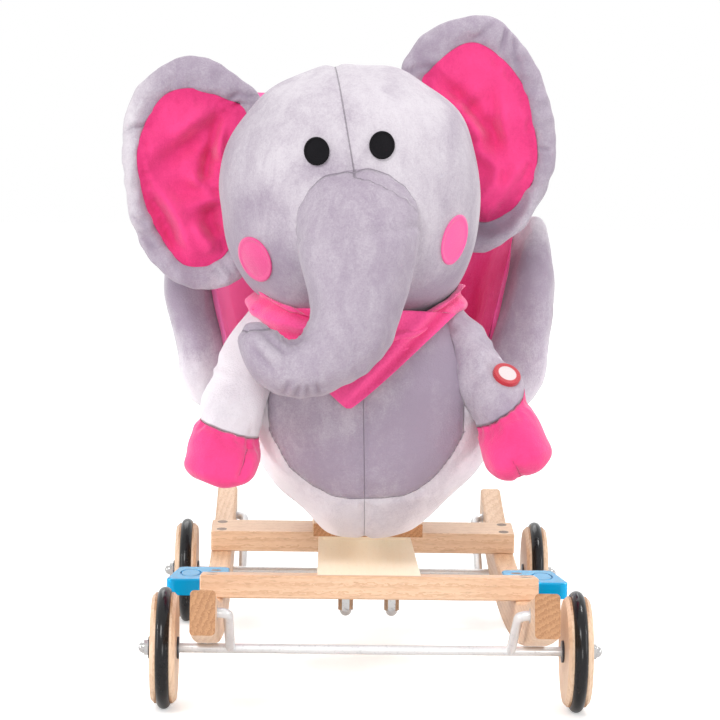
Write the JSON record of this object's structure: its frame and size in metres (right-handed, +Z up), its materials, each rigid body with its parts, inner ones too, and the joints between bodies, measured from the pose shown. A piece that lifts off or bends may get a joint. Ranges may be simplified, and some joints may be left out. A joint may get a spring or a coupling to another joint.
{
  "type": "rocking elephant ride-on",
  "caption": "Plush elephant seat for a toddler on a wooden frame with rocking runners, footrests and swing-away wheels.",
  "frame": {"origin": "Middle of the whole outline on the floor under the wheels.", "axes": "+X is the elephant's left-hand side as seen from the front, to the viewer's right; +Y points from its trunk to the backrest; +Z is up."},
  "size_m": [0.3614, 0.568, 0.5114],
  "materials": {
    "beech": "clear lacquered pale solid wood with a straight grain",
    "lacquered_board": "smooth cream lacquer over wood",
    "plywood": "raw plywood, hidden under the plush",
    "zinc": "bright zinc plating",
    "rod_coating": "pale silver powder coating, slightly glossy",
    "dark_steel": "dark oiled steel",
    "bright_nut": "polished dome nut",
    "black_steel": "black paint",
    "tyre": "glossy black rubber ring",
    "bush_plastic": "off-white nylon",
    "blue_plastic": "glossy moulded blue",
    "white_plastic": "plain white housing, hidden in the arm",
    "cell_steel": "plain steel cells, hidden",
    "grey_plush": "short-pile grey plush with darker lavender where the nap turns",
    "pink_plush": "short-pile hot pink plush",
    "pink_fleece": "soft hot pink fleece",
    "black_felt": "black embroidered felt with a grey stitched rim",
    "button_cloth": "red-rimmed white fabric patch"
  },
  "bodies": {
    "root": {"back_board": "plywood", "back_lining": "pink_plush", "backrest": "grey_plush", "batteries": "cell_steel", "cheeks": "pink_plush", "ear_linings": "pink_plush", "eyes": "black_felt", "footrest_brackets": "black_steel", "frame_screws": "zinc", "front_crossbar": "beech", "grab_bar": "beech", "head": "grey_plush", "head_post": "plywood", "left_arm": "grey_plush", "left_ear": "grey_plush", "left_footrest": "blue_plastic", "left_runner": "beech", "left_wing": "grey_plush", "paws": "pink_plush", "pivot_bushes": "bush_plastic", "rear_crossbar": "beech", "right_arm": "grey_plush", "right_ear": "grey_plush", "right_footrest": "blue_plastic", "right_runner": "beech", "right_wing": "grey_plush", "scarf": "pink_fleece", "seat_base": "plywood", "seat_board": "lacquered_board", "seat_bowl": "grey_plush", "seat_cap_nuts": "bright_nut", "seat_pad": "pink_plush", "seat_risers": "beech", "seat_studs": "zinc", "sound_module": "white_plastic", "torso": "grey_plush", "trunk": "grey_plush", "wing_linings": "pink_plush"},
    "front_wheel_frame": {"front_axle": "rod_coating", "front_crank_legs": "rod_coating", "front_axle_washers": "dark_steel", "front_axle_nuts": "bright_nut"},
    "rear_wheel_frame": {"rear_axle": "rod_coating", "rear_crank_legs": "rod_coating", "rear_axle_washers": "dark_steel", "rear_axle_nuts": "bright_nut"},
    "front_left_wheel": {"front_left_wheel_disc": "beech", "front_left_wheel_tyre": "tyre", "front_left_wheel_bush": "bush_plastic"},
    "front_right_wheel": {"front_right_wheel_disc": "beech", "front_right_wheel_tyre": "tyre", "front_right_wheel_bush": "bush_plastic"},
    "rear_left_wheel": {"rear_left_wheel_disc": "beech", "rear_left_wheel_tyre": "tyre", "rear_left_wheel_bush": "bush_plastic"},
    "rear_right_wheel": {"rear_right_wheel_disc": "beech", "rear_right_wheel_tyre": "tyre", "rear_right_wheel_bush": "bush_plastic"},
    "sound_button": {"sound_button": "button_cloth"}
  },
  "joints": [
    {"name": "front_frame_swing", "type": "hinge", "parent": "root", "child": "front_wheel_frame", "pos_m": [0.0127, -0.241, 0.08208], "axis": [1, 0, 0], "range_deg": [-330, 0]},
    {"name": "rear_frame_swing", "type": "hinge", "parent": "root", "child": "rear_wheel_frame", "pos_m": [0.0127, 0.241, 0.08208], "axis": [1, 0, 0], "range_deg": [0, 330]},
    {"name": "front_left_wheel_spin", "type": "hinge", "parent": "front_wheel_frame", "child": "front_left_wheel", "pos_m": [-0.1363, -0.174, 0.044], "axis": [1, 0, 0], "continuous": true},
    {"name": "front_right_wheel_spin", "type": "hinge", "parent": "front_wheel_frame", "child": "front_right_wheel", "pos_m": [0.1617, -0.174, 0.044], "axis": [1, 0, 0], "continuous": true},
    {"name": "rear_left_wheel_spin", "type": "hinge", "parent": "rear_wheel_frame", "child": "rear_left_wheel", "pos_m": [-0.1363, 0.174, 0.044], "axis": [1, 0, 0], "continuous": true},
    {"name": "rear_right_wheel_spin", "type": "hinge", "parent": "rear_wheel_frame", "child": "rear_right_wheel", "pos_m": [0.1617, 0.174, 0.044], "axis": [1, 0, 0], "continuous": true},
    {"name": "sound_button_press", "type": "slide", "parent": "root", "child": "sound_button", "axis": [-0.2701, 0.6277, -0.7301], "range_m": [0, 0.0025], "stiffness_N_per_m": 400}
  ]
}
